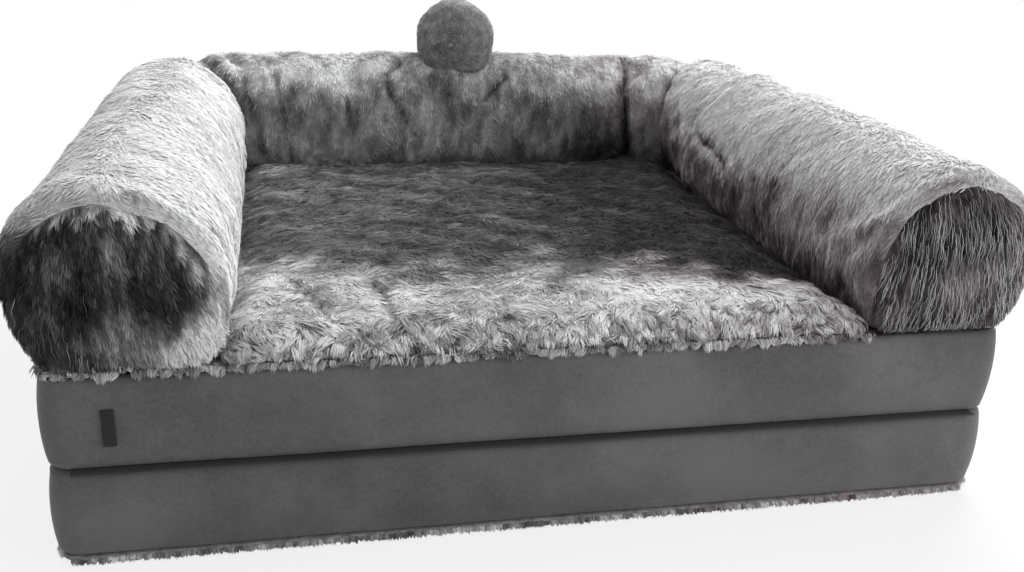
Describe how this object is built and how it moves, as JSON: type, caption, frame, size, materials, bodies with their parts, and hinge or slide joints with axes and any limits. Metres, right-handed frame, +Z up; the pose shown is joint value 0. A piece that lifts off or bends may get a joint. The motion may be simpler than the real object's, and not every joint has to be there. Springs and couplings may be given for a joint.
{
  "type": "dog sofa bed",
  "caption": "Fold-out plush dog sofa bed: a padded seat inside a bolster on stacked foam layers, the lower layer swinging out on a fabric hinge at the front.",
  "frame": {"origin": "on the floor under the middle of the whole folded object", "axes": "+X to the right as seen from the front, along the bed's width; +Y from the open front to the back; +Z up"},
  "size_m": [1.0398, 0.8812, 0.4674],
  "materials": {
    "suede_band": "smooth brushed polyester, matt",
    "seat_plush": "frosted long-pile plush",
    "underside_plush": "frosted plush",
    "arm_plush": "frosted long-pile plush, light tips",
    "end_plush": "dark long-pile plush",
    "back_plush": "frosted long-pile plush",
    "foam": "open-cell foam",
    "wadding": "polyester fibre",
    "lining": "thin spun lining cloth",
    "hinge_cloth": "woven polyester",
    "tab_tape": "woven tape",
    "zip_tape": "woven zip tape",
    "zip_coil": "moulded coil",
    "zip_metal": "dark enamel"
  },
  "bodies": {
    "sofa": {"upper_cover": "suede_band", "seat_deck_plush": "seat_plush", "upper_foam": "foam", "seat_pad_cover": "seat_plush", "seat_pad_fill": "wadding", "left_arm_cover": "arm_plush", "left_arm_end_panel": "end_plush", "left_arm_liner": "lining", "left_arm_fill": "wadding", "right_arm_cover": "arm_plush", "right_arm_end_panel": "end_plush", "right_arm_liner": "lining", "right_arm_fill": "wadding", "back_cover": "back_plush", "back_liner": "lining", "back_fill": "wadding", "headrest_cover": "back_plush", "headrest_fill": "wadding", "upper_zip_tapes": "zip_tape", "upper_zip_coils": "zip_coil", "upper_zip_stops": "zip_metal", "bolster_zip_tapes": "zip_tape", "bolster_zip_coils": "zip_coil", "bolster_zip_stops": "zip_metal", "fold_hinge_upper_leaf": "hinge_cloth", "fold_hinge_welt": "hinge_cloth", "side_tab": "tab_tape"},
    "base": {"lower_cover": "suede_band", "underside_plush": "underside_plush", "lower_foam": "foam", "lower_zip_tapes": "zip_tape", "lower_zip_coils": "zip_coil", "lower_zip_stops": "zip_metal", "fold_hinge_lower_leaf": "hinge_cloth"},
    "lower_slider": {"lower_zip_slider": "zip_metal"},
    "lower_pull": {"lower_zip_pull": "zip_metal"},
    "upper_slider": {"upper_zip_slider": "zip_metal"},
    "upper_pull": {"upper_zip_pull": "zip_metal"},
    "bolster_slider": {"bolster_zip_slider": "zip_metal"},
    "bolster_pull": {"bolster_zip_pull": "zip_metal"}
  },
  "joints": [
    {"name": "fold_hinge", "type": "hinge", "parent": "sofa", "child": "base", "pos_m": [0, -0.4391, 0.1032], "axis": [-1, 0, 0], "range_deg": [0, 180]},
    {"name": "lower_slider_slide", "type": "slide", "parent": "base", "child": "lower_slider", "axis": [1, 0, 0], "range_m": [0, 0.843]},
    {"name": "lower_pull_swing", "type": "hinge", "parent": "lower_slider", "child": "lower_pull", "pos_m": [-0.4215, 0.4187, 0.0515], "axis": [1, 0, 0], "range_deg": [0, 150]},
    {"name": "upper_slider_slide", "type": "slide", "parent": "sofa", "child": "upper_slider", "axis": [1, 0, 0], "range_m": [0, 0.843]},
    {"name": "upper_pull_swing", "type": "hinge", "parent": "upper_slider", "child": "upper_pull", "pos_m": [-0.4215, 0.4187, 0.1549], "axis": [1, 0, 0], "range_deg": [0, 150]},
    {"name": "bolster_slider_slide", "type": "slide", "parent": "sofa", "child": "bolster_slider", "axis": [1, 0, 0], "range_m": [0, 0.543]},
    {"name": "bolster_pull_swing", "type": "hinge", "parent": "bolster_slider", "child": "bolster_pull", "pos_m": [-0.2715, 0.4387, 0.2804], "axis": [1, 0, 0], "range_deg": [0, 150]}
  ]
}
